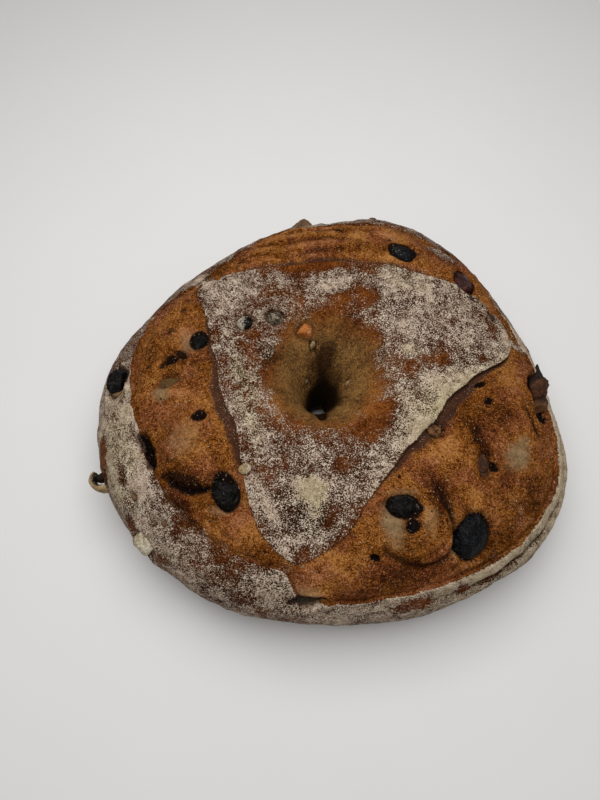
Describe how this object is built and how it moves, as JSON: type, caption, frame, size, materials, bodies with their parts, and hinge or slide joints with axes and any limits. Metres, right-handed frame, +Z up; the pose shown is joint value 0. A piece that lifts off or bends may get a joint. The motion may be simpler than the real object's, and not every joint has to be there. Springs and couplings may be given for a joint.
{
  "type": "ring-shaped fruit and nut sourdough loaf",
  "caption": "Floured ring-shaped sourdough loaf with scored crescents of bare crust around a raised triangular top, raisins and nut pieces, and a funnel hollow through the middle.",
  "frame": {"origin": "middle of the loaf's bounding box, at the height of the flat base it rests on", "axes": "+Z up from the base; +X along the loaf's longest way, towards the end of the raised triangle that points right; the triangle's floured tip points towards -Y"},
  "size_m": [0.208, 0.1926, 0.0585],
  "materials": {
    "crust": "baked crust, matte, orange-brown to dark brown, dusted with pale rye flour",
    "raisin": "baked raisin skin, near black, satin, wrinkled",
    "nut": "toasted nut flesh, matte, tan to brown"
  },
  "bodies": {
    "root": {"loaf": "crust"}
  },
  "joints": []
}
